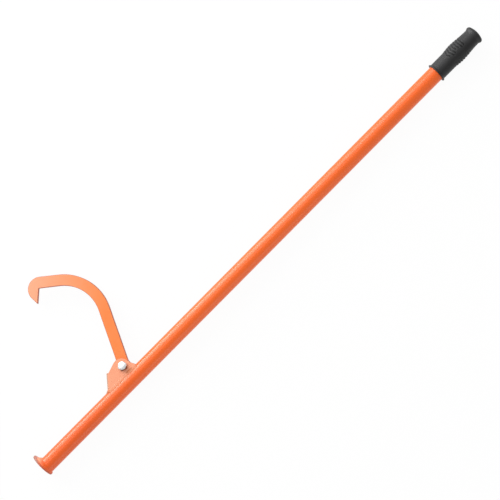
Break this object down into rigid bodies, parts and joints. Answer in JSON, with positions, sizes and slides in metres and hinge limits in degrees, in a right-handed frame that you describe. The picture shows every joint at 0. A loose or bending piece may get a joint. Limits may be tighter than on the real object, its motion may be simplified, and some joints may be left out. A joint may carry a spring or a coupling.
{
  "type": "felling lever with turning hook",
  "caption": "Long straight tubular lever with a rubber grip, a round toe plate and a claw-tipped hook that swings on a bolt in a welded bracket, for turning logs.",
  "frame": {"origin": "on the tube's axis, in the outer face of the toe plate", "axes": "+X along the tube from the toe to the grip, +Y towards the side the hook stands on, +Z square to the hook's plane, up as the lever lies on its side"},
  "size_m": [1.22, 0.3062, 0.05],
  "materials": {
    "painted_steel": "smooth gloss orange paint over steel tube and plate",
    "painted_hook": "smooth satin orange paint over flat bar",
    "zinc_plate": "bright zinc plating",
    "nylon": "plain nylon ring",
    "grip_rubber": "moulded black rubber, semi-matte"
  },
  "bodies": {
    "lever": {"handle_tube": "painted_steel", "toe_plate": "painted_steel", "toe_weld": "painted_steel", "bracket": "painted_steel", "cheek_weld_near": "painted_steel", "cheek_weld_far": "painted_steel", "web_weld": "painted_steel", "pivot_bolt": "zinc_plate", "pivot_washer": "zinc_plate", "pivot_nut": "zinc_plate", "nut_insert": "nylon", "rubber_grip": "grip_rubber"},
    "hook": {"turning_hook": "painted_hook"}
  },
  "joints": [
    {"name": "hook_swing", "type": "hinge", "parent": "lever", "child": "hook", "pos_m": [0.2535, 0.031, 0], "axis": [0, 0, 1], "range_deg": [-65, 77]}
  ]
}
